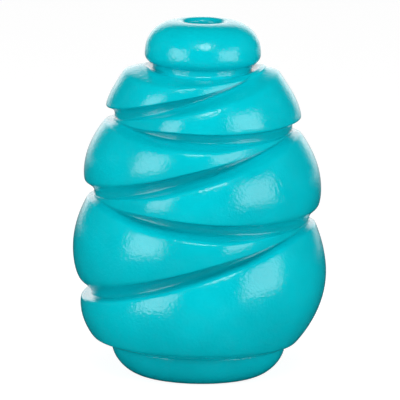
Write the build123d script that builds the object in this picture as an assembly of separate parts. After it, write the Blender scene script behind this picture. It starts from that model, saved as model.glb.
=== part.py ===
from build123d import *
import math
import os

# A hollow rubber chew toy for a dog: a beehive of wedge-shaped bands with zigzag grooves between them, a treat
# hole through the top and a push-in plug that closes the filling mouth and is also the toy's foot.
# The toy stands on the plug's flat underside at z = 0, with its own axis on Z. Left is -X, right is +X, and the
# front is -Y. All lengths are in millimetres.

# The foot of the plug, which is seen under the toy. Below its short upright side it is rounded to the underside.
FOOT_HEIGHT = 8.6
FOOT_SIDE = 1.0
FOOT_RADIUS = 24.2

# The core of the body: the egg that the groove floors lie on.
SEAM_RADIUS = 25.3
BELLY_SWELL = 4.4
BELLY_RISE = 23.7
NECK_RADIUS = 14.7

# The bands, from the foot up, each measured along Z at the left side and at the right side.
BASE_BAND_LEFT = 13.4
BASE_BAND_RIGHT = 35.7
WEDGE_1_LEFT = 26.3
WEDGE_1_RIGHT = 0.6
WEDGE_2_LEFT = 2.6
WEDGE_2_RIGHT = 24.2
WEDGE_3_LEFT = 19.5
WEDGE_3_RIGHT = 0.2
WEDGE_4_LEFT = 1.2
WEDGE_4_RIGHT = 20.0
WEDGE_5_LEFT = 14.8
DOME_HEIGHT = 12.8

# Where a band is narrow it is a ridge between two channels, with a sloping shelf above it and a steep lip below it.
# The ridge dies away towards the tip of a wedge. The base band ends in a softer edge over the foot.
RIDGE_HEIGHT = 4.4
RIDGE_REACH = 7.0
RIDGE_POWER_SHARE = 3.0
SHELF_REACH = 2.6
SHELF_POWER_SHARE = 2.0
LIP_REACH = 1.4
LIP_POWER_SHARE = 3.0
SEAT_REACH = 3.2
SEAT_POWER_SHARE = 1.5

# Where a band is wide it swells into a pillow between the narrow floors of its grooves.
PILLOW_SWELL = 5.7
PILLOW_REACH = 20.0
PILLOW_POWER_SHARE = 3.0
ARCH_POWER_SHARE = 0.5
FLOOR_REACH = 1.0
FLOOR_POWER_SHARE = 2.0

# The dome on top, and how two grooves that come together run on side by side.
DOME_SWELL = 4.6
GROOVE_MEETING_GAP = 1.2
GROOVE_MEETING_ROUND = 1.5

# The treat hole and the chamber.
VENT_RADIUS = 5.25
RIM_WIDTH = 0.75
VENT_LENGTH = 17.9
CHAMBER_WALL = 7.0
CHAMBER_BOW_SHARE = 0.55
MOUTH_RADIUS = 15.5
MOUTH_TAPER = 1.0
MOUTH_LIP = 1.0

# The plug's shank in the mouth.
SHANK_LENGTH = 11.4
SHANK_EDGE_ROUND = 1.2
PLUG_CLEARANCE = 0.15
CUT_OVERRUN = 2.0

# How finely the outer surface is laid out.
ROWS_PER_BAND_COUNT = 14
COLUMN_COUNT = 28
SKIN_TOLERANCE = 0.15

FOOT_EDGE_ROUND = FOOT_HEIGHT - FOOT_SIDE
BELLY_RADIUS = SEAM_RADIUS + BELLY_SWELL
BELLY_HEIGHT = FOOT_HEIGHT + BELLY_RISE
RIM_RADIUS = VENT_RADIUS + RIM_WIDTH
MOUTH_TOP = FOOT_HEIGHT + SHANK_LENGTH

# Each tilted groove's height at the left and at the right, from the lowest up.
LEFT_STEPS = (BASE_BAND_LEFT, WEDGE_1_LEFT, WEDGE_2_LEFT, WEDGE_3_LEFT, WEDGE_4_LEFT)
RIGHT_STEPS = (BASE_BAND_RIGHT, WEDGE_1_RIGHT, WEDGE_2_RIGHT, WEDGE_3_RIGHT, WEDGE_4_RIGHT)
NECK_HEIGHT = FOOT_HEIGHT + sum(LEFT_STEPS) + WEDGE_5_LEFT
RIM_HEIGHT = NECK_HEIGHT + DOME_HEIGHT


def core_radius(height):
    """Radius of the egg that the groove floors lie on."""
    above = height > BELLY_HEIGHT
    span = NECK_HEIGHT - BELLY_HEIGHT if above else BELLY_RISE
    end = NECK_RADIUS if above else SEAM_RADIUS
    fall = (height - BELLY_HEIGHT) / span
    return math.sqrt(BELLY_RADIUS ** 2 - fall ** 2 * (BELLY_RADIUS ** 2 - end ** 2))


def lower_of(plane, limit):
    """The lower of two heights, with a rounded change from one to the other."""
    return (plane + limit - math.hypot(plane - limit, GROOVE_MEETING_ROUND)) / 2


def groove_heights(angle):
    """Heights of the rim, the neck, the five tilted grooves and the seam at one angle, from the top down.

    The angle is zero at the front and grows towards the right. A groove that comes up to the one above it runs on
    close beside it.
    """
    side = math.sin(angle)
    planes = []
    for count in range(1, len(LEFT_STEPS) + 1):
        left = FOOT_HEIGHT + sum(LEFT_STEPS[:count])
        right = FOOT_HEIGHT + sum(RIGHT_STEPS[:count])
        planes.append((left + right) / 2 + (right - left) / 2 * side)
    heights = [RIM_HEIGHT, NECK_HEIGHT]
    for plane in reversed(planes):
        heights.append(lower_of(plane, heights[-1] - GROOVE_MEETING_GAP))
    return heights + [FOOT_HEIGHT]


def risen(distance, reach, power):
    """Share of a full rise at a distance from where it starts."""
    return 1 - math.exp(-((distance / reach) ** power))


def arch(way):
    """Share of an arch's height at a share of the way across it."""
    return (4 * way * (1 - way)) ** ARCH_POWER_SHARE


def band_swell(way, width, lip):
    """How far a band stands out of the core: a ridge where it is narrow, changing to a pillow where it is wide."""
    wide = risen(width, PILLOW_REACH, PILLOW_POWER_SHARE)
    ridge = RIDGE_HEIGHT * risen(width, RIDGE_REACH, RIDGE_POWER_SHARE)
    ridge *= risen(way * width, SHELF_REACH, SHELF_POWER_SHARE) * risen((1 - way) * width, *lip)
    pillow = PILLOW_SWELL * arch(way) * risen(way * width, FLOOR_REACH, FLOOR_POWER_SHARE)
    pillow *= risen((1 - way) * width, FLOOR_REACH, FLOOR_POWER_SHARE)
    return (1 - wide) * ridge + wide * pillow


def band_point(angle, band, way):
    """Point of the outer surface on one band, at a share of the way from its upper to its lower groove."""
    heights = groove_heights(angle)
    upper, lower = heights[band], heights[band + 1]
    upper_radius = RIM_RADIUS if band == 0 else core_radius(upper)
    lower_radius = core_radius(lower)
    width = math.hypot(lower_radius - upper_radius, upper - lower)
    out = (upper - lower) / width
    up = (lower_radius - upper_radius) / width
    height = upper + way * (lower - upper)
    if band == 0:
        radius = upper_radius + way * (lower_radius - upper_radius)
        swell = DOME_SWELL * arch(way)
        swell *= risen((1 - way) * width, LIP_REACH, LIP_POWER_SHARE)
    else:
        base = band == len(heights) - 2
        lip = (SEAT_REACH, SEAT_POWER_SHARE) if base else (LIP_REACH, LIP_POWER_SHARE)
        radius = core_radius(height)
        swell = band_swell(way, width, lip)
    radius += swell * out
    return Vector(radius * math.sin(angle), -radius * math.cos(angle), height + swell * up)


def front_skin():
    """The front half of the banded outer surface as one smooth face, from the left side to the right side."""
    bands = len(LEFT_STEPS) + 2
    rows = [(band, row) for band in range(bands) for row in range(ROWS_PER_BAND_COUNT)]
    rows.append((bands - 1, ROWS_PER_BAND_COUNT))
    angles = [math.pi * column / COLUMN_COUNT - math.pi / 2 for column in range(COLUMN_COUNT + 1)]
    grid = []
    for band, row in rows:
        way = (1 - math.cos(math.pi * row / ROWS_PER_BAND_COUNT)) / 2
        grid.append([band_point(angle, band, way) for angle in angles])
    return Face.make_surface_from_array_of_points(grid, tol=SKIN_TOLERANCE, min_deg=3, max_deg=3)


def filled_body():
    """The body without its inside: two mirrored halves of the skin, closed flat at the rim and at the seam."""
    front = front_skin()
    back = mirror(front, Plane.XZ)
    rim = Face(Wire([half.edges().sort_by(Axis.Z)[-1] for half in (front, back)]))
    seat = Face(Wire([half.edges().sort_by(Axis.Z)[0] for half in (front, back)]))
    return Solid(Shell([front, back, rim, seat]))


def mouth_radius(height):
    """Radius of the tapered filling mouth at a height."""
    return MOUTH_RADIUS - MOUTH_TAPER * (height - FOOT_HEIGHT) / SHANK_LENGTH


def chamber_space():
    """The space inside the body: treat hole, egg-shaped chamber and tapered filling mouth."""
    chamber_radius = BELLY_RADIUS - CHAMBER_WALL
    roof = RIM_HEIGHT - VENT_LENGTH
    sill_radius = mouth_radius(MOUTH_TOP) + MOUTH_LIP
    roof_bow = CHAMBER_BOW_SHARE * (roof - BELLY_HEIGHT)
    vent_bow = CHAMBER_BOW_SHARE * (chamber_radius - VENT_RADIUS)
    floor_bow = CHAMBER_BOW_SHARE * (BELLY_HEIGHT - MOUTH_TOP)
    sill_bow = CHAMBER_BOW_SHARE * (chamber_radius - sill_radius)
    with BuildSketch(Plane.XZ) as section:
        with BuildLine():
            Bezier(
                (sill_radius, MOUTH_TOP),
                (sill_radius + sill_bow, MOUTH_TOP),
                (chamber_radius, BELLY_HEIGHT - floor_bow),
                (chamber_radius, BELLY_HEIGHT),
            )
            Bezier(
                (chamber_radius, BELLY_HEIGHT),
                (chamber_radius, BELLY_HEIGHT + roof_bow),
                (VENT_RADIUS + vent_bow, roof),
                (VENT_RADIUS, roof),
            )
            Polyline(
                (VENT_RADIUS, roof),
                (VENT_RADIUS, RIM_HEIGHT + CUT_OVERRUN),
                (0, RIM_HEIGHT + CUT_OVERRUN),
                (0, FOOT_HEIGHT - CUT_OVERRUN),
                (mouth_radius(FOOT_HEIGHT - CUT_OVERRUN), FOOT_HEIGHT - CUT_OVERRUN),
                (mouth_radius(MOUTH_TOP), MOUTH_TOP),
                (sill_radius, MOUTH_TOP),
            )
        make_face()
    return revolve(section.sketch, Axis.Z)


def rubber_body():
    """The hollow moulded body with its bands, treat hole and chamber."""
    return filled_body() - chamber_space()


def base_plug():
    """The push-in plug: the foot under the toy and the tapered shank that fills the mouth."""
    shank_root = mouth_radius(FOOT_HEIGHT) - PLUG_CLEARANCE
    shank_end = mouth_radius(MOUTH_TOP) - PLUG_CLEARANCE
    with BuildSketch(Plane.XZ) as section:
        with BuildLine():
            Polyline(
                (0, 0),
                (FOOT_RADIUS, 0),
                (FOOT_RADIUS, FOOT_HEIGHT),
                (shank_root, FOOT_HEIGHT),
                (shank_end, MOUTH_TOP),
                (0, MOUTH_TOP),
                close=True,
            )
        make_face()
        foot_corner = section.vertices().group_by(Axis.Y)[0].sort_by(Axis.X)[-1]
        shank_corner = section.vertices().group_by(Axis.Y)[-1].sort_by(Axis.X)[-1]
        fillet(foot_corner, FOOT_EDGE_ROUND)
        fillet(shank_corner, SHANK_EDGE_ROUND)
    return revolve(section.sketch, Axis.Z)


def main():
    """Writes each piece to its own file."""
    os.makedirs("parts", exist_ok=True)
    pieces = {"rubber_body": rubber_body(), "base_plug": base_plug()}
    for name, piece in pieces.items():
        box = piece.bounding_box()
        print(f"{name}: {piece.volume / 1000:.1f} cm3, {box.size.X:.2f} x {box.size.Y:.2f} x {box.size.Z:.2f} mm")
        export_step(piece, f"parts/{name}.step")


if __name__ == "__main__":
    main()
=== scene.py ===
import logging
import math
from collections.abc import Callable, Iterator
from contextlib import contextmanager
from dataclasses import dataclass
from enum import Enum

import bmesh
import bpy
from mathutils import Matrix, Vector


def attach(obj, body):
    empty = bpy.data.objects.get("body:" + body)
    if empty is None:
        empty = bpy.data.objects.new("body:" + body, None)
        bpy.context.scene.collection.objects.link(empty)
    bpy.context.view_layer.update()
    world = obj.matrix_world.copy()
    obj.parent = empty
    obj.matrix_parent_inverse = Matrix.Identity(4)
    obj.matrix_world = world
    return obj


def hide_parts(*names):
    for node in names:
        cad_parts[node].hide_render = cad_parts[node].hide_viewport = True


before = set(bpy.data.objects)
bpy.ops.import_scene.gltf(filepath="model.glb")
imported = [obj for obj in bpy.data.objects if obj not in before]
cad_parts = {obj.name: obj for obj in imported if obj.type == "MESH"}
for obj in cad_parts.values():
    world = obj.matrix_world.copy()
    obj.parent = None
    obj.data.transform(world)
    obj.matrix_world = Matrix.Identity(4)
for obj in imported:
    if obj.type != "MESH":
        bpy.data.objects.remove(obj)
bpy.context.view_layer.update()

MM = 0.001
MERGE_DISTANCE = 0.001 * MM
LOG = logging.getLogger("chew_toy")


class Carrier(Enum):
    """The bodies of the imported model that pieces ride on."""

    TOY = "toy"
    PLUG = "plug"


class Element(Enum):
    """What a selection in edit mode is made of."""

    CORNER = "VERT"
    EDGE = "EDGE"
    FACE = "FACE"


def linear(hex_colour: str) -> tuple[float, float, float, float]:
    """Turns an sRGB hex colour into the linear colour that shaders take.

    Args:
        hex_colour: Six hex digits after a hash sign.

    Returns:
        Red, green, blue and an alpha of one.
    """
    channels = [int(hex_colour[place : place + 2], 16) / 255 for place in (1, 3, 5)]
    red, green, blue = (c / 12.92 if c <= 0.04045 else ((c + 0.055) / 1.055) ** 2.4 for c in channels)
    return red, green, blue, 1.0


def add_node(
    tree: bpy.types.NodeTree,
    kind: str,
    settings: dict | None = None,
    links: dict | None = None,
) -> bpy.types.Node:
    """Adds a node with its settings and links.

    Args:
        tree: The node tree to add to.
        kind: The node's type name.
        settings: Values by socket name or number, or by property name.
        links: Output sockets by the name or number of the input that takes them.

    Returns:
        The new node.
    """
    node = tree.nodes.new(kind)
    for name, value in (settings or {}).items():
        if isinstance(name, int) or name in node.inputs:
            node.inputs[name].default_value = value
        else:
            setattr(node, name, value)
    for name, source in (links or {}).items():
        tree.links.new(source, node.inputs[name])
    return node


def select_only(piece: bpy.types.Object) -> None:
    """Makes one object the only selected and the active one."""
    bpy.ops.object.select_all(action="DESELECT")
    piece.select_set(True)
    bpy.context.view_layer.objects.active = piece


@contextmanager
def editing(piece: bpy.types.Object) -> Iterator[None]:
    """Holds an object in edit mode, alone, for the steps inside."""
    select_only(piece)
    bpy.ops.object.mode_set(mode="EDIT")
    yield
    bpy.ops.object.mode_set(mode="OBJECT")


def pick(piece: bpy.types.Object, element: Element, test: Callable[[Vector], bool]) -> None:
    """Selects, in edit mode, each element whose middle passes a test.

    Args:
        piece: The object in edit mode.
        element: Which elements are looked at.
        test: Says whether a place in metres is wanted.
    """
    bpy.ops.mesh.select_mode(type=element.value)
    bpy.ops.mesh.select_all(action="DESELECT")
    shape = bmesh.from_edit_mesh(piece.data)
    if element is Element.CORNER:
        found = [corner for corner in shape.verts if test(corner.co)]
    elif element is Element.EDGE:
        found = [edge for edge in shape.edges if test((edge.verts[0].co + edge.verts[1].co) / 2)]
    else:
        found = [face for face in shape.faces if test(face.calc_center_median())]
    for one in found:
        one.select = True
    shape.select_flush_mode()
    bmesh.update_edit_mesh(piece.data)


def on_ring(radius: float, height: float, slack: float = 0.02) -> Callable[[Vector], bool]:
    """Makes a test for places on a level ring round the axis.

    Args:
        radius: The ring's radius in millimetres.
        height: The ring's height in millimetres.
        slack: How far off a place may be, in millimetres.

    Returns:
        The test.
    """

    def test(place: Vector) -> bool:
        """Says whether a place is on the ring."""
        off = math.hypot(math.hypot(place.x, place.y) / MM - radius, place.z / MM - height)
        return off < slack

    return test


def draw_ring_on(start: tuple[float, float], rings: list[tuple[float, float]]) -> None:
    """Extrudes the selected ring on through a row of rings about the axis, in edit mode.

    Args:
        start: Radius and height of the selected ring in millimetres.
        rings: Radius and height of each next ring in millimetres.
    """
    radius, height = start
    for next_radius, next_height in rings:
        rise = (next_height - height) * MM
        bpy.ops.mesh.extrude_edges_move(TRANSFORM_OT_translate={"value": (0, 0, rise)})
        share = next_radius / radius
        bpy.ops.transform.resize(value=(share, share, 1), center_override=(0, 0, next_height * MM))
        radius, height = next_radius, next_height


def close_shape() -> None:
    """Merges doubled corners and turns all faces outwards, in edit mode."""
    bpy.ops.mesh.select_mode(type=Element.CORNER.value)
    bpy.ops.mesh.select_all(action="SELECT")
    bpy.ops.mesh.remove_doubles(threshold=MERGE_DISTANCE)
    bpy.ops.mesh.normals_make_consistent(inside=False)


@dataclass(frozen=True)
class MouldedRubber:
    """Solid-coloured rubber, pressed in a polished mould.

    The mould leaves a wet-looking gloss with an orange peel, which breaks the lamps' reflections into mottled
    patches. The peel is drawn deeper than on a real mould, so that it shows. The pigment is even, with only
    slow changes of depth, and a few specks of dust are pressed in. Sizes are in millimetres.
    """

    name: str = "moulded_rubber"
    colour: str = "#00C6D3"
    deep_colour: str = "#00BCC9"
    speck_colour: str = "#06656E"
    refraction: float = 1.52
    roughness_low: float = 0.08
    roughness_high: float = 0.15
    peel_size: float = 0.8
    peel_height: float = 0.1
    wave_size: float = 6.0
    wave_height: float = 0.05
    patch_size: float = 3.0
    cloud_size: float = 16.0
    speck_spacing: float = 11.0
    speck_radius: float = 0.16
    speck_core_share: float = 0.6
    noise_low: float = 0.35
    noise_high: float = 0.65

    def material(self) -> bpy.types.Material:
        """Builds the finish.

        Returns:
            The material, with patterns in millimetres on Object coordinates.
        """
        finish = bpy.data.materials.new(self.name)
        finish.use_nodes = True
        tree = finish.node_tree
        shader = tree.nodes["Principled BSDF"]
        place = add_node(tree, "ShaderNodeTexCoord").outputs["Object"]
        cloud = self._noise(tree, place, self.cloud_size, detail=2.0)
        pigment = add_node(
            tree,
            "ShaderNodeMix",
            {"data_type": "RGBA", 6: linear(self.deep_colour), 7: linear(self.colour)},
            {0: self._spread(tree, cloud, 0.0, 1.0)},
        )
        dots = add_node(
            tree,
            "ShaderNodeTexVoronoi",
            {"Scale": 1 / (self.speck_spacing * MM), "Randomness": 1.0},
            {"Vector": place},
        )
        speck = add_node(
            tree,
            "ShaderNodeMapRange",
            {
                "From Min": self.speck_core_share * self.speck_radius / self.speck_spacing,
                "From Max": self.speck_radius / self.speck_spacing,
                "To Min": 1.0,
                "To Max": 0.0,
            },
            {"Value": dots.outputs["Distance"]},
        )
        colour = add_node(
            tree,
            "ShaderNodeMix",
            {"data_type": "RGBA", 7: linear(self.speck_colour)},
            {0: speck.outputs["Result"], 6: pigment.outputs[2]},
        )
        tree.links.new(colour.outputs[2], shader.inputs["Base Color"])
        patches = self._noise(tree, place, self.patch_size, detail=3.0)
        roughness = self._spread(tree, patches, self.roughness_low, self.roughness_high)
        tree.links.new(roughness, shader.inputs["Roughness"])
        wave = add_node(
            tree,
            "ShaderNodeBump",
            {"Strength": 1.0, "Distance": self.wave_height * MM},
            {"Height": self._noise(tree, place, self.wave_size, detail=1.0)},
        )
        peel = add_node(
            tree,
            "ShaderNodeBump",
            {"Strength": 1.0, "Distance": self.peel_height * MM},
            {
                "Height": self._noise(tree, place, self.peel_size, detail=2.0),
                "Normal": wave.outputs["Normal"],
            },
        )
        tree.links.new(peel.outputs["Normal"], shader.inputs["Normal"])
        shader.inputs["IOR"].default_value = self.refraction
        return finish

    def _noise(
        self, tree: bpy.types.NodeTree, place: bpy.types.NodeSocket, size: float, detail: float
    ) -> bpy.types.NodeSocket:
        """Adds noise with features of a size.

        Args:
            tree: The node tree.
            place: Where on the piece, in metres.
            size: Width of a feature in millimetres.
            detail: How many finer layers it has.

        Returns:
            The noise's value.
        """
        settings = {"Scale": 1 / (size * MM), "Detail": detail}
        return add_node(tree, "ShaderNodeTexNoise", settings, {"Vector": place}).outputs["Fac"]

    def _spread(
        self, tree: bpy.types.NodeTree, value: bpy.types.NodeSocket, low: float, high: float
    ) -> bpy.types.NodeSocket:
        """Spreads the middle of a noise between two values.

        Args:
            tree: The node tree.
            value: The noise.
            low: The result at the noise's low side.
            high: The result at its high side.

        Returns:
            The spread value.
        """
        settings = {"From Min": self.noise_low, "From Max": self.noise_high, "To Min": low, "To Max": high}
        return add_node(tree, "ShaderNodeMapRange", settings, {"Value": value}).outputs["Result"]


@dataclass(frozen=True)
class PaperSweep:
    """Matt paper of a studio sweep, whose fibres scatter the light evenly.

    It shows as white paper with a soft shadow. Light that bounces off it onto the toy takes a painted grey, a
    painted shade, and in the toy's gloss it shows white only on its far part, its near part painted
    near-black as a painted reflection. Its places are in metres.
    """

    name: str = "white_paper"
    colour: str = "#F8F8F8"
    painted_bounce_grey: str = "#D6D6D6"
    painted_reflection_dark: str = "#141414"
    roughness: float = 0.9
    specular: float = 0.1
    glow_share: float = 0.7
    glow_level: float = 1.31
    lit_from: float = 0.15
    lit_to: float = 0.6
    lit_spread: float = 0.8

    def material(self) -> bpy.types.Material:
        """Builds the finish.

        Returns:
            The material.
        """
        finish = bpy.data.materials.new(self.name)
        finish.use_nodes = True
        tree = finish.node_tree
        paper = tree.nodes["Principled BSDF"]
        paper.inputs["Roughness"].default_value = self.roughness
        paper.inputs["Specular IOR Level"].default_value = self.specular
        path = add_node(tree, "ShaderNodeLightPath")
        shown = self._shown(tree, path)
        # Painted shade and painted reflection: grey paper for light bounced onto the toy, near-black paper in
        # the toy's gloss.
        painted_shade_mix = add_node(
            tree,
            "ShaderNodeMix",
            {"data_type": "RGBA", 6: linear(self.painted_bounce_grey), 7: linear(self.painted_reflection_dark)},
            {0: path.outputs["Is Glossy Ray"]},
        )
        colour = add_node(
            tree,
            "ShaderNodeMix",
            {"data_type": "RGBA", 7: linear(self.colour)},
            {0: shown, 6: painted_shade_mix.outputs[2]},
        )
        tree.links.new(colour.outputs[2], paper.inputs["Base Color"])
        share = add_node(tree, "ShaderNodeMath", {"operation": "MULTIPLY", 1: self.glow_share}, {0: shown})
        glow = add_node(tree, "ShaderNodeEmission", {"Color": (1, 1, 1, 1), "Strength": self.glow_level})
        layers = {0: share.outputs[0], 1: paper.outputs[0], 2: glow.outputs[0]}
        mix = add_node(tree, "ShaderNodeMixShader", {}, layers)
        tree.links.new(mix.outputs[0], tree.nodes["Material Output"].inputs["Surface"])
        return finish

    def _shown(self, tree: bpy.types.NodeTree, path: bpy.types.Node) -> bpy.types.NodeSocket:
        """Adds how far the paper shows white: to the view, and in the toy's gloss on its lit far part.

        Args:
            tree: The node tree.
            path: The light path node.

        Returns:
            The share, from zero to one.
        """
        where = add_node(tree, "ShaderNodeTexCoord").outputs["Object"]
        place = add_node(tree, "ShaderNodeSeparateXYZ", {}, {0: where})
        aside = add_node(tree, "ShaderNodeMath", {"operation": "ABSOLUTE"}, {0: place.outputs["X"]})
        behind = add_node(
            tree,
            "ShaderNodeMath",
            {"operation": "MULTIPLY_ADD", 1: -self.lit_spread},
            {0: aside.outputs[0], 2: place.outputs["Y"]},
        )
        far = add_node(
            tree,
            "ShaderNodeMapRange",
            {"From Min": self.lit_from, "From Max": self.lit_to},
            {"Value": behind.outputs[0]},
        )
        glossed = add_node(
            tree,
            "ShaderNodeMath",
            {"operation": "MULTIPLY"},
            {0: path.outputs["Is Glossy Ray"], 1: far.outputs["Result"]},
        )
        seen = add_node(
            tree,
            "ShaderNodeMath",
            {"operation": "MAXIMUM"},
            {0: path.outputs["Is Camera Ray"], 1: glossed.outputs[0]},
        )
        shown = add_node(
            tree,
            "ShaderNodeMath",
            {"operation": "MAXIMUM"},
            {0: seen.outputs[0], 1: path.outputs["Is Transmission Ray"]},
        )
        return shown.outputs[0]


@dataclass
class BandedBody:
    """The hollow moulded body: a dome over a beehive of wedge-shaped bands, with zigzag grooves between them.

    Lengths are in millimetres and the smoothing angle in degrees. Angles round the axis start at the front
    and grow towards the right. The steps and sags are listed from the lowest groove up.
    """

    foot_height: float = 8.6
    seam_radius: float = 25.3
    belly_swell: float = 5.7
    belly_rise: float = 23.7
    neck_radius: float = 17.0
    left_steps: tuple[float, ...] = (13.9, 28.2, 0.0, 21.7, 0.0)
    right_steps: tuple[float, ...] = (35.7, 0.0, 25.4, 0.0, 16.3)
    front_sags: tuple[float, ...] = (0.2, 1.9, -0.2, 1.4, -1.7)
    front_dip: float = 1.8
    neck_dip: float = 3.1
    neck_wall: float = 1.3
    top_step: float = 14.0
    dome_height: float = 13.2
    dome_radius: float = 16.2
    dome_drop: float = 9.2
    dome_arc_share: float = 0.75
    dome_fullness_share: float = 0.92
    dome_round_share: float = 0.65
    crest_height: float = 1.5
    crest_reach: float = 2.5
    crest_fade: float = 3.5
    ridge_height: float = 4.0
    ridge_reach: float = 7.0
    pillow_swell: float = 4.7
    pillow_reach: float = 20.0
    rise_power: float = 3.0
    face_flat_share: float = 0.85
    face_round_share: float = 0.65
    face_lean_share: float = 0.5
    shelf_slope: float = 5.0
    shoulder_round: float = 1.2
    lip_height: float = 2.7
    lip_trim: float = 0.4
    lip_reach: float = 7.0
    lip_least_share: float = 0.1
    lip_growth: float = 0.35
    lip_round: float = 0.5
    lip_round_growth: float = 2.0
    under_power: float = 6.0
    under_power_fall: float = 4.5
    under_limit: float = 2.0
    edge_ease: float = 0.2
    seat_slope: float = 3.0
    floor_fillet: float = 0.3
    front_fillet: float = 0.9
    meeting_gap: float = 0.3
    meeting_round: float = 0.8
    vent_radius: float = 5.25
    rim_width: float = 1.4
    rim_drop: float = 1.3
    rim_steps: int = 6
    vent_length: float = 17.9
    chamber_wall: float = 8.3
    chamber_bow_share: float = 0.55
    mouth_radius: float = 15.5
    mouth_taper: float = 1.0
    mouth_lip: float = 1.0
    shank_length: float = 11.4
    chamber_rings: int = 14
    columns: int = 224
    rows_per_band: int = 52
    row_crowding: float = 1.6
    shelf_zone: float = 4.5
    shelf_zone_most: float = 0.4
    shelf_rows_share: float = 0.3
    lip_zone_share: float = 1.6
    lip_zone_most: float = 0.5
    lip_rows_share: float = 0.4
    smooth_angle: float = 70.0

    @property
    def belly_radius(self) -> float:
        """The widest radius of the groove floors."""
        return self.seam_radius + self.belly_swell

    @property
    def belly_height(self) -> float:
        """The height of the widest groove floor."""
        return self.foot_height + self.belly_rise

    @property
    def neck_height(self) -> float:
        """The height of the groove under the dome."""
        return self.foot_height + sum(self.left_steps) + self.top_step

    @property
    def rim_height(self) -> float:
        """The height of the treat hole's rim."""
        return self.neck_height + self.dome_height

    @property
    def rim_radius(self) -> float:
        """The radius at which the dome meets the treat hole's rim."""
        return self.vent_radius + self.rim_width

    def core_radius(self, height: float) -> float:
        """Gives the radius of the egg that the groove floors lie on.

        Args:
            height: The height in millimetres.

        Returns:
            The radius in millimetres.
        """
        above = height > self.belly_height
        span = self.neck_height - self.belly_height if above else self.belly_rise
        end = self.neck_radius if above else self.seam_radius
        fall = (height - self.belly_height) / span
        return math.sqrt(self.belly_radius**2 - fall**2 * (self.belly_radius**2 - end**2))

    def groove_heights(self, angle: float) -> list[float]:
        """Gives the heights of the rim, the neck, the five tilted grooves and the seam.

        Args:
            angle: The angle round the axis in radians.

        Returns:
            The heights from the top down. A groove that comes up to the one above it runs on close beside it.
        """
        front = math.cos(angle) ** 2
        heights = [self.rim_height, self.neck_height]
        for count in range(len(self.left_steps), 0, -1):
            left = self.foot_height + sum(self.left_steps[:count])
            right = self.foot_height + sum(self.right_steps[:count])
            tilt = (right - left) / 2 * math.sin(angle)
            plane = (left + right) / 2 + tilt - self.front_sags[count - 1] * front
            heights.append(self.lesser(plane, heights[-1] - self.meeting_gap, self.meeting_round))
        return [*heights, self.foot_height]

    @staticmethod
    def lesser(one: float, other: float, rounding: float) -> float:
        """Gives the lesser of two lengths, with a rounded change from one to the other."""
        return (one + other - math.hypot(one - other, rounding)) / 2

    @staticmethod
    def inwards(upper: float, lower: float, height: float) -> float:
        """Gives how far into a band a height is, from zero at both its edges to one in its middle."""
        return 4 * (upper - height) * (height - lower) / (upper - lower) ** 2

    def risen(self, width: float, reach: float) -> float:
        """Gives the share of its full form that a band of a width has."""
        return 1 - math.exp(-((width / reach) ** self.rise_power))

    def floor_radius(self, height: float, angle: float, neck: bool = False) -> float:
        """Gives the radius of a groove's floor, which is even at the neck.

        Args:
            height: The groove's height.
            angle: The angle round the axis in radians.
            neck: Whether it is the neck's groove. The others lie deepest at the front and the back.

        Returns:
            The radius in millimetres.
        """
        dip = self.neck_dip if neck else self.front_dip * math.cos(angle) ** 2
        return self.core_radius(height) - dip

    @staticmethod
    def ramp(distance: float, slope: float, fillet: float) -> float:
        """Gives the rise of a slope that starts out of a groove's upright wall with a round fillet.

        Args:
            distance: How far down the slope is followed.
            slope: The rise for each length down.
            fillet: The fillet's radius.

        Returns:
            The rise in millimetres.
        """
        steep = math.atan(slope)
        run = fillet * math.sin(steep)
        if distance < run:
            return fillet - math.sqrt(fillet**2 - distance**2)
        return fillet * (1 - math.cos(steep)) + slope * (distance - run)

    def underside(self, floor: float, lip: float, way: float, wide: float) -> float:
        """Gives the radius of a lip's slanted underside.

        Args:
            floor: The radius of the groove's floor.
            lip: The radius of the lip.
            way: The share of the way up from the floor to the lip.
            wide: How full a pillow the band is, as a share.

        Returns:
            The radius in millimetres.
        """
        power = self.under_power - self.under_power_fall * wide
        return floor + (lip - floor) * min(way, self.under_limit) ** power

    def lip_height_at(self, width: float, angle: float) -> float:
        """Gives a lip's height above the groove's floor, which is less at the front and on a narrow band.

        Args:
            width: The band's height here.
            angle: The angle round the axis in radians.

        Returns:
            The height in millimetres.
        """
        full = self.lip_height - self.lip_trim * math.cos(angle) ** 2
        least = self.lip_least_share
        share = least + (1 - least) * self.risen(width, self.lip_reach)
        return full * share * (1 + self.lip_growth * self.risen(width, self.pillow_reach))

    def dome_point(self, angle: float, neck: float, way: float) -> tuple[float, float]:
        """Gives a point of the dome: an arc from the rim to its widest, then a rounding to the neck's wall.

        Args:
            angle: The angle round the axis in radians.
            neck: The height of the neck's groove at that angle.
            way: The share of the way down the dome.

        Returns:
            Radius and height in millimetres.
        """
        arc = self.dome_arc_share
        turn = math.pi / 2 * min(way / arc, 1.0)
        side = max(way - arc, 0.0) / (1 - arc)
        shoulder = self.rim_height - self.dome_drop
        full = self.dome_fullness_share
        height = shoulder + self.dome_drop * max(math.cos(turn), 0.0) ** full - side * (shoulder - neck)
        radius = self.rim_radius + (self.dome_radius - self.rim_radius) * math.sin(turn) ** full
        floor = self.floor_radius(neck, angle, neck=True)
        share = (height - neck - self.neck_wall) / (shoulder - neck - self.neck_wall)
        curve = (1 - (1 - min(max(share, 0.0), 1.0)) ** 2) ** self.dome_round_share
        return min(radius, floor + (self.dome_radius - floor) * curve), height

    def crest_rise(self, angle: float, radius: float, height: float) -> float:
        """Gives how far the shoulders beside the neck stand above its groove at the sides.

        Args:
            angle: The angle round the axis in radians.
            radius: The radius on the shoulder.
            height: The height on the shoulder before it rises.

        Returns:
            The rise in millimetres.
        """
        out = min(max((radius - self.neck_radius + self.neck_dip) / self.crest_reach, 0.0), 1.0)
        fade = math.exp(-(((self.neck_height - height) / self.crest_fade) ** 2))
        return self.crest_height * math.sin(angle) ** 2 * out**2 * (3 - 2 * out) * fade

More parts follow.
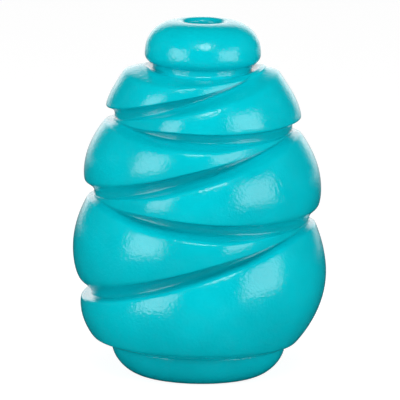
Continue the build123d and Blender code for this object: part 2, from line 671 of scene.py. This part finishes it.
    def band_radius(
        self, angle: float, upper: float, lower: float, height: float, top: bool, base: bool
    ) -> float:
        """Gives the radius of a band: a shelf, a bulging face and a lip that hangs over the groove below.

        Args:
            angle: The angle round the axis in radians.
            upper: The height of the groove above the band.
            lower: The height of the groove below it.
            height: The height on the band.
            top: Whether it is the band under the neck.
            base: Whether it is the base band, which ends on the plug's seam.

        Returns:
            The radius in millimetres.
        """
        width = upper - lower
        rise = self.risen(width, self.ridge_reach)
        wide = self.risen(width, self.pillow_reach)
        swell = self.ridge_height * rise + (self.pillow_swell - self.ridge_height) * wide
        flat = self.face_flat_share * (1 - self.face_round_share * wide)
        lean = self.face_lean_share * math.cos(angle) ** 2

        def face_at(level: float) -> float:
            """Gives the radius of the face at a height."""
            core = (1 - lean) * self.core_radius(level) + lean * self.core_radius((upper + lower) / 2)
            return core + swell * (flat + (1 - flat) * self.inwards(upper, lower, level))

        fillet = self.floor_fillet + self.front_fillet * math.cos(angle) ** 2
        shelf = self.floor_radius(upper, angle, top) + self.ramp(upper - height, self.shelf_slope, fillet)
        if base:
            under = self.core_radius(lower) + self.ramp(height - lower, self.seat_slope, self.floor_fillet)
        else:
            lip = self.lip_height_at(width, angle)
            floor = self.floor_radius(lower, angle)
            under = self.underside(floor, face_at(lower + lip), (height - lower) / lip, wide)
        ease = rise * (1 - math.exp(-self.inwards(upper, lower, height) / self.edge_ease))
        lip_round = self.lip_round * (1 + self.lip_round_growth * wide)
        shoulder = self.lesser(face_at(height), shelf, self.shoulder_round * ease)
        return self.lesser(shoulder, under, lip_round * ease)

    def skin_point(self, angle: float, heights: list[float], band: int, way: float) -> Vector:
        """Gives a point of the outer skin.

        Args:
            angle: The angle round the axis in radians.
            heights: The groove heights at that angle.
            band: The band's number, with the dome as number zero.
            way: The share of the way down the band.

        Returns:
            The point in metres.
        """
        upper, lower = heights[band], heights[band + 1]
        if band == 0:
            radius, height = self.dome_point(angle, lower, way)
        else:
            height = upper + way * (lower - upper)
            base = band == len(heights) - 2
            radius = self.band_radius(angle, upper, lower, height, top=band == 1, base=base)
            height += self.crest_rise(angle, radius, height)
        return Vector((radius * math.sin(angle), -radius * math.cos(angle), height)) * MM

    def mouth_radius_at(self, height: float) -> float:
        """Gives the radius of the tapered filling mouth at a height."""
        return self.mouth_radius - self.mouth_taper * (height - self.foot_height) / self.shank_length

    def inner_rings(self) -> list[tuple[float, float]]:
        """Lays out the inside from the rim down.

        Returns:
            Radius and height of each ring: rounded rim, treat hole, egg-shaped chamber and filling mouth.
        """
        roof = self.rim_height - self.vent_length
        chamber = self.belly_radius - self.chamber_wall
        mouth_top = self.foot_height + self.shank_length
        sill = self.mouth_radius_at(mouth_top) + self.mouth_lip
        rings = []
        for step in range(1, self.rim_steps + 1):
            turn = math.pi / 2 * step / self.rim_steps
            radius = self.rim_radius - self.rim_width * math.sin(turn)
            rings.append((radius, self.rim_height - self.rim_drop * (1 - math.cos(turn))))
        rings += [(self.vent_radius, self.rim_height - self.vent_length / 2), (self.vent_radius, roof)]
        bow = self.chamber_bow_share
        upper = (
            (self.vent_radius, roof),
            (self.vent_radius + bow * (chamber - self.vent_radius), roof),
            (chamber, self.belly_height + bow * (roof - self.belly_height)),
            (chamber, self.belly_height),
        )
        lower = (
            (chamber, self.belly_height),
            (chamber, self.belly_height - bow * (self.belly_height - mouth_top)),
            (sill + bow * (chamber - sill), mouth_top),
            (sill, mouth_top),
        )
        for corners in (upper, lower):
            for step in range(1, self.chamber_rings + 1):
                t = step / self.chamber_rings
                shares = ((1 - t) ** 3, 3 * t * (1 - t) ** 2, 3 * t**2 * (1 - t), t**3)
                rings.append(tuple(sum(s * c[axis] for s, c in zip(shares, corners)) for axis in (0, 1)))
        return [*rings, (self.mouth_radius_at(mouth_top), mouth_top), (self.mouth_radius, self.foot_height)]

    def build(self) -> bpy.types.Object:
        """Models the body from an open cylinder.

        Returns:
            The body's object, with its place in its mesh.
        """
        bpy.ops.object.select_all(action="DESELECT")
        height = (self.rim_height - self.foot_height) * MM
        middle = (self.rim_height + self.foot_height) / 2 * MM
        bpy.ops.mesh.primitive_cylinder_add(
            vertices=self.columns,
            radius=self.belly_radius * MM,
            depth=height,
            end_fill_type="NOTHING",
            location=(0, 0, middle),
        )
        piece = bpy.context.object
        piece.name = piece.data.name = "banded_body"
        bpy.ops.object.transform_apply(location=True, rotation=True, scale=True)
        bands = len(self.left_steps) + 2

        def up_a_band(place: Vector) -> bool:
            """Says whether the middle of an edge is about halfway up one of the bands."""
            return abs((place.z - self.foot_height * MM) / height * bands % 1 - 0.5) < 0.25

        with editing(piece):
            pick(piece, Element.EDGE, lambda place: abs(place.z - middle) < MM)
            bpy.ops.mesh.subdivide(number_cuts=bands - 1)
            pick(piece, Element.EDGE, up_a_band)
            bpy.ops.mesh.subdivide(number_cuts=self.rows_per_band - 1)
        self._press_bands(piece, height / (bands * self.rows_per_band))
        with editing(piece):
            pick(piece, Element.CORNER, on_ring(self.rim_radius, self.rim_height))
            rings = self.inner_rings()
            draw_ring_on((self.rim_radius, self.rim_height), rings)
            mouth = on_ring(*rings[-1])
            seat = on_ring(self.seam_radius, self.foot_height)
            pick(piece, Element.CORNER, lambda place: mouth(place) or seat(place))
            bpy.ops.mesh.bridge_edge_loops()
            close_shape()
        bpy.ops.object.shade_smooth_by_angle(angle=math.radians(self.smooth_angle))
        return piece

    def _press_bands(self, piece: bpy.types.Object, row_height: float) -> None:
        """Moves each row of the cylinder's corners to its line on the bands, as the mould does.

        Args:
            piece: The body's object, still a plain cylinder.
            row_height: The height of one row in metres.
        """
        grooves: dict[int, list[float]] = {}
        last = len(self.left_steps) + 1
        for corner in piece.data.vertices:
            angle = math.atan2(corner.co.x, -corner.co.y)
            column = round(angle / math.tau * self.columns * 2)
            if column not in grooves:
                grooves[column] = self.groove_heights(angle)
            heights = grooves[column]
            row = round((self.rim_height * MM - corner.co.z) / row_height)
            band = min(row // self.rows_per_band, last)
            share = row / self.rows_per_band - band
            way = self.row_way(share, heights[band] - heights[band + 1], angle)
            corner.co = self.skin_point(angle, heights, band, way)
        piece.data.update()

    def row_way(self, share: float, width: float, angle: float) -> float:
        """Crowds a band's rows towards its shelf and its lip.

        Args:
            share: The row's number as a share of the band's rows.
            width: The band's height here.
            angle: The angle round the axis in radians.

        Returns:
            The share of the way down the band.
        """
        top = min(self.shelf_zone / width, self.shelf_zone_most)
        end = min(self.lip_zone_share * self.lip_height_at(width, angle) / width, self.lip_zone_most)
        first = self.shelf_rows_share
        last = 1 - self.lip_rows_share
        if share < first:
            return top * (share / first) ** self.row_crowding
        if share > last:
            return 1 - end * (1 - share) / self.lip_rows_share
        return top + (1 - top - end) * (share - first) / (last - first)

    def dress(self, piece: bpy.types.Object, finish: bpy.types.Material) -> None:
        """Gives the body its finish and its place on the frame."""
        piece.data.materials.clear()
        piece.data.materials.append(finish)
        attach(piece, Carrier.TOY.value)
        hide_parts("rubber_body")


@dataclass
class BasePlug:
    """The push-in plug: a rounded foot under the toy and a tapered shank in the filling mouth.

    Lengths are in millimetres and angles in degrees.
    """

    foot_height: float = 8.6
    foot_side: float = 1.0
    foot_radius: float = 24.2
    foot_fullness: float = 0.43
    mouth_radius: float = 15.5
    mouth_taper: float = 1.0
    clearance: float = 0.15
    shank_length: float = 11.4
    shank_edge_round: float = 1.2
    shank_edge_steps: int = 6
    seam_edge_round: float = 0.35
    seam_edge_steps: int = 4
    foot_steps: int = 20
    columns: int = 192
    face_slack: float = 0.1
    smooth_angle: float = 40.0

    def build(self) -> bpy.types.Object:
        """Models the plug from a disc.

        Returns:
            The plug's object, with its place in its mesh.
        """
        bpy.ops.object.select_all(action="DESELECT")
        bpy.ops.mesh.primitive_cylinder_add(
            vertices=self.columns,
            radius=self.foot_radius * MM,
            depth=self.foot_height * MM,
            end_fill_type="NGON",
            location=(0, 0, self.foot_height / 2 * MM),
        )
        piece = bpy.context.object
        piece.name = piece.data.name = "foot_plug"
        bpy.ops.object.transform_apply(location=True, rotation=True, scale=True)
        root = self.mouth_radius - self.clearance
        tip = root - self.mouth_taper
        top = self.foot_height + self.shank_length
        with editing(piece):
            pick(piece, Element.FACE, lambda place: place.z > (self.foot_height - self.face_slack) * MM)
            bpy.ops.mesh.inset(thickness=(self.foot_radius - root) * MM)
            bpy.ops.mesh.extrude_region_move(
                TRANSFORM_OT_translate={"value": (0, 0, self.shank_length * MM)}
            )
            bpy.ops.transform.resize(value=(tip / root, tip / root, 1), center_override=(0, 0, top * MM))
            self._round_edge(piece, tip, top, self.shank_edge_round, self.shank_edge_steps)
            self._round_edge(
                piece, self.foot_radius, self.foot_height, self.seam_edge_round, self.seam_edge_steps
            )
            rounding = self.foot_height - self.foot_side
            self._round_edge(piece, self.foot_radius, 0.0, rounding, self.foot_steps, self.foot_fullness)
            close_shape()
        bpy.ops.object.shade_smooth_by_angle(angle=math.radians(self.smooth_angle))
        return piece

    @staticmethod
    def _round_edge(
        piece: bpy.types.Object,
        radius: float,
        height: float,
        size: float,
        steps: int,
        fullness: float = 0.5,
    ) -> None:
        """Rounds one level ring edge, in edit mode.

        Args:
            piece: The plug's object.
            radius: The ring's radius.
            height: The ring's height.
            size: The radius of the rounding.
            steps: How many faces make the rounding.
            fullness: How full the rounding is, from a chamfer at a quarter to a quarter circle at a half.
        """
        pick(piece, Element.EDGE, on_ring(radius, height))
        bpy.ops.mesh.bevel(
            offset=size * MM,
            offset_type="OFFSET",
            segments=steps,
            profile=fullness,
            affect="EDGES",
            clamp_overlap=False,
        )

    def dress(self, piece: bpy.types.Object, finish: bpy.types.Material) -> None:
        """Gives the plug its finish and its place on the frame."""
        piece.data.materials.clear()
        piece.data.materials.append(finish)
        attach(piece, Carrier.PLUG.value)
        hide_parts("base_plug")


def round_about(azimuth: float, elevation: float, distance: float, centre: Vector) -> Vector:
    """Gives a place round a centre, at an azimuth from the front and an elevation, both in degrees.

    Args:
        azimuth: Zero is in front, and it grows towards the right.
        elevation: The angle above the horizon.
        distance: The distance in metres.
        centre: The centre in metres.

    Returns:
        The place in metres.
    """
    a, e = math.radians(azimuth), math.radians(elevation)
    return centre + distance * Vector((math.sin(a) * math.cos(e), -math.cos(a) * math.cos(e), math.sin(e)))


@dataclass(frozen=True)
class Softbox:
    """A rectangular lamp that faces the toy. Its sizes are in metres and its angles in degrees.

    A lamp that isn't glossy is flagged off, so the toy's gloss doesn't show it.
    """

    name: str
    azimuth: float
    elevation: float
    width: float
    height: float
    watts: float
    distance: float = 0.6
    glossy: bool = True

    def build(self, centre: Vector) -> bpy.types.Object:
        """Sets up the lamp.

        Args:
            centre: The place that it faces.

        Returns:
            The lamp's object.
        """
        lamp = bpy.data.lights.new(self.name, "AREA")
        lamp.shape = "RECTANGLE"
        lamp.size = self.width
        lamp.size_y = self.height
        lamp.energy = self.watts
        holder = bpy.data.objects.new(self.name, lamp)
        bpy.context.scene.collection.objects.link(holder)
        holder.visible_glossy = self.glossy
        holder.location = round_about(self.azimuth, self.elevation, self.distance, centre)
        holder.rotation_euler = (centre - holder.location).to_track_quat("-Z", "Y").to_euler()
        return holder


@dataclass
class Studio:
    """The white sweep, the softboxes and the camera of the photograph.

    Places and lengths are in metres and angles in degrees. The edges of the backdrop are shares of the way
    straight back.
    """

    aim: tuple[float, float, float] = (-0.00014, 0.0, 0.0489)
    elevation: float = 10.5
    distance: float = 1.5
    roll: float = 0.9
    image_width: int = 400
    pixels_per_mm: float = 3.578
    clip_start: float = 0.05
    clip_end: float = 50.0
    floor_size: float = 6.0
    room_level: float = 0.16
    front_level: float = 0.012
    back_level: float = 1.7
    backdrop_from: float = 0.8
    backdrop_to: float = 0.93
    lamps: tuple[Softbox, ...] = (
        Softbox("left_softbox", -50.0, 10.0, 0.36, 0.36, 1.3),
        Softbox("right_softbox", 54.0, 10.0, 0.42, 0.36, 1.35),
        Softbox("top_softbox", 5.0, 42.0, 0.24, 0.16, 0.75),
        Softbox("top_fill", 0.0, 50.0, 0.5, 0.3, 1.3, glossy=False),
        Softbox("left_fill", -100.0, 20.0, 0.4, 0.4, 0.3, glossy=False),
        Softbox("right_fill", 100.0, 20.0, 0.4, 0.4, 0.3, glossy=False),
    )

    def build(self) -> None:
        """Sets up the floor, the surroundings, the lamps and the camera."""
        self._lay_floor()
        self._surround()
        for lamp in self.lamps:
            lamp.build(Vector(self.aim))
        self._set_camera()
        bpy.context.scene.view_settings.view_transform = "Standard"

    def _lay_floor(self) -> None:
        """Lays the white paper under the toy."""
        bpy.ops.object.select_all(action="DESELECT")
        bpy.ops.mesh.primitive_plane_add(size=self.floor_size, location=(0, 0, 0))
        floor = bpy.context.object
        floor.name = "paper_floor"
        floor.data.materials.append(PaperSweep().material())

    def _surround(self) -> None:
        """Makes the room: dim light all round, a bright backdrop in the gloss, and white to the view."""
        world = bpy.data.worlds.new("studio")
        bpy.context.scene.world = world
        world.use_nodes = True
        tree = world.node_tree
        way = add_node(tree, "ShaderNodeTexCoord").outputs["Generated"]
        parts = add_node(tree, "ShaderNodeSeparateXYZ", {}, {0: way})
        backdrop = add_node(
            tree,
            "ShaderNodeMapRange",
            {
                "interpolation_type": "SMOOTHSTEP",
                "From Min": self.backdrop_from,
                "From Max": self.backdrop_to,
                "To Min": self.front_level,
                "To Max": self.back_level,
            },
            {"Value": parts.outputs["Y"]},
        )
        path = add_node(tree, "ShaderNodeLightPath")
        seen = add_node(
            tree,
            "ShaderNodeMath",
            {"operation": "MAXIMUM"},
            {0: path.outputs["Is Camera Ray"], 1: path.outputs["Is Transmission Ray"]},
        )
        level = add_node(
            tree,
            "ShaderNodeMix",
            {"data_type": "FLOAT", 2: self.room_level},
            {0: path.outputs["Is Glossy Ray"], 3: backdrop.outputs["Result"]},
        )
        strength = add_node(
            tree,
            "ShaderNodeMix",
            {"data_type": "FLOAT", 3: 1.0},
            {0: seen.outputs[0], 2: level.outputs[0]},
        )
        background = tree.nodes["Background"]
        background.inputs["Color"].default_value = (1, 1, 1, 1)
        tree.links.new(strength.outputs[0], background.inputs["Strength"])

    def _set_camera(self) -> None:
        """Places the camera as in the photograph, with its lens set for the frame's width."""
        camera = bpy.data.cameras.new("camera")
        holder = bpy.data.objects.new("camera", camera)
        bpy.context.scene.collection.objects.link(holder)
        aim = Vector(self.aim)
        holder.location = round_about(0.0, self.elevation, self.distance, aim)
        turn = (aim - holder.location).to_track_quat("-Z", "Y").to_euler()
        turn.rotate_axis("Z", math.radians(self.roll))
        holder.rotation_euler = turn
        frame_width = self.image_width / self.pixels_per_mm * MM
        camera.lens = camera.sensor_width * self.distance / frame_width
        camera.clip_start = self.clip_start
        camera.clip_end = self.clip_end
        bpy.context.scene.camera = holder


def main() -> None:
    """Builds the toy and the studio, and reports each piece."""
    logging.basicConfig(level=logging.INFO, format="%(name)s: %(message)s")
    rubber = MouldedRubber().material()
    for assembly in (BandedBody(), BasePlug()):
        piece = assembly.build()
        assembly.dress(piece, rubber)
        sizes = [round(size / MM, 1) for size in piece.dimensions]
        LOG.info("%s: %d faces, size %s mm", piece.name, len(piece.data.polygons), sizes)
    Studio().build()


if __name__ == "__main__":
    main()
